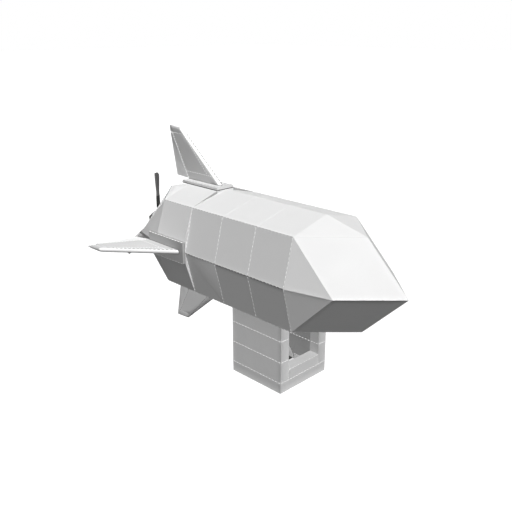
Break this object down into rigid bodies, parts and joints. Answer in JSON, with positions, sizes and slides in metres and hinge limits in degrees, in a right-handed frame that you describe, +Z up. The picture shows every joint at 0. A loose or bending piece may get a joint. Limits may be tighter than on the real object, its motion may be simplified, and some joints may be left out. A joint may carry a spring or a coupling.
{
  "type": "blimp",
  "caption": "Small one-person blimp with a faceted fabric envelope, swept tail fins with hinged rudders and elevators, a pusher propeller and a box gondola that it parks on.",
  "frame": {"origin": "centre of the gondola's flat underside, the face that the blimp stands on", "axes": "+X forward to the nose, +Y to port, +Z up"},
  "size_m": [16.1015, 10.1, 10.55],
  "materials": {
    "envelope_fabric": "satin coated fabric",
    "fin_fabric": "satin coated fabric",
    "fin_mount_metal": "satin",
    "gondola_paint": "satin",
    "seat_shell": "satin",
    "seat_fabric": "matte woven",
    "motor_paint": "satin",
    "dark_composite": "satin",
    "black_composite": "satin",
    "bare_steel": "brushed"
  },
  "bodies": {
    "root": {"envelope_nose": "envelope_fabric", "envelope_front_bay": "envelope_fabric", "envelope_middle_bay": "envelope_fabric", "envelope_rear_bay": "envelope_fabric", "envelope_tail_bay": "envelope_fabric", "envelope_tail_cone": "envelope_fabric", "upper_fin_mount": "fin_mount_metal", "starboard_fin_mount": "fin_mount_metal", "lower_fin_mount": "fin_mount_metal", "port_fin_mount": "fin_mount_metal", "upper_fin": "fin_fabric", "starboard_fin": "fin_fabric", "lower_fin": "fin_fabric", "port_fin": "fin_fabric", "upper_fin_cap": "fin_fabric", "starboard_fin_cap": "fin_fabric", "lower_fin_cap": "fin_fabric", "port_fin_cap": "fin_fabric", "motor_housing": "motor_paint", "gondola_floor": "gondola_paint", "gondola_starboard_wall_lower": "gondola_paint", "gondola_starboard_wall_middle": "gondola_paint", "gondola_starboard_wall_upper": "gondola_paint", "gondola_port_wall_lower": "gondola_paint", "gondola_port_wall_middle": "gondola_paint", "gondola_port_wall_upper": "gondola_paint", "gondola_rear_wall_lower": "gondola_paint", "gondola_rear_wall_middle": "gondola_paint", "gondola_rear_wall_upper": "gondola_paint", "gondola_window_sill": "gondola_paint", "seat_pedestal": "seat_shell", "seat_pan": "seat_shell", "seat_back": "seat_shell", "seat_port_bolster": "seat_shell", "seat_starboard_bolster": "seat_shell", "seat_cushion": "seat_fabric", "seat_back_pad": "seat_fabric", "side_console": "seat_shell", "steering_stick": "dark_composite", "throttle_lever": "dark_composite"},
    "propeller": {"propeller_shaft": "bare_steel", "propeller_hub": "dark_composite", "propeller_spinner": "black_composite", "propeller_blade_1": "dark_composite", "propeller_blade_2": "dark_composite", "propeller_blade_3": "dark_composite"},
    "rudder_upper": {"upper_rudder": "fin_fabric"},
    "rudder_lower": {"lower_rudder": "fin_fabric"},
    "elevator_starboard": {"starboard_elevator": "fin_fabric"},
    "elevator_port": {"port_elevator": "fin_fabric"}
  },
  "joints": [
    {"name": "propeller_spin", "type": "hinge", "parent": "root", "child": "propeller", "pos_m": [-8.725, 0, 5.5], "axis": [1, 0, 0], "continuous": true},
    {"name": "upper_rudder_hinge", "type": "hinge", "parent": "root", "child": "rudder_upper", "pos_m": [-6.05, 0, 8.135], "axis": [-0.4821, 0, 0.8761], "range_deg": [-25, 25]},
    {"name": "lower_rudder_hinge", "type": "hinge", "parent": "root", "child": "rudder_lower", "pos_m": [-6.05, 0, 2.865], "axis": [0.4821, 0, 0.8761], "range_deg": [-25, 25]},
    {"name": "starboard_elevator_hinge", "type": "hinge", "parent": "root", "child": "elevator_starboard", "pos_m": [-6.05, -2.635, 5.5], "axis": [-0.4821, -0.8761, 0], "range_deg": [-25, 25]},
    {"name": "port_elevator_hinge", "type": "hinge", "parent": "root", "child": "elevator_port", "pos_m": [-6.05, 2.635, 5.5], "axis": [0.4821, -0.8761, 0], "range_deg": [-25, 25]}
  ],
  "couplings": [
    {"joint": "lower_rudder_hinge", "follows": "upper_rudder_hinge", "ratio": 1},
    {"joint": "port_elevator_hinge", "follows": "starboard_elevator_hinge", "ratio": 1}
  ]
}
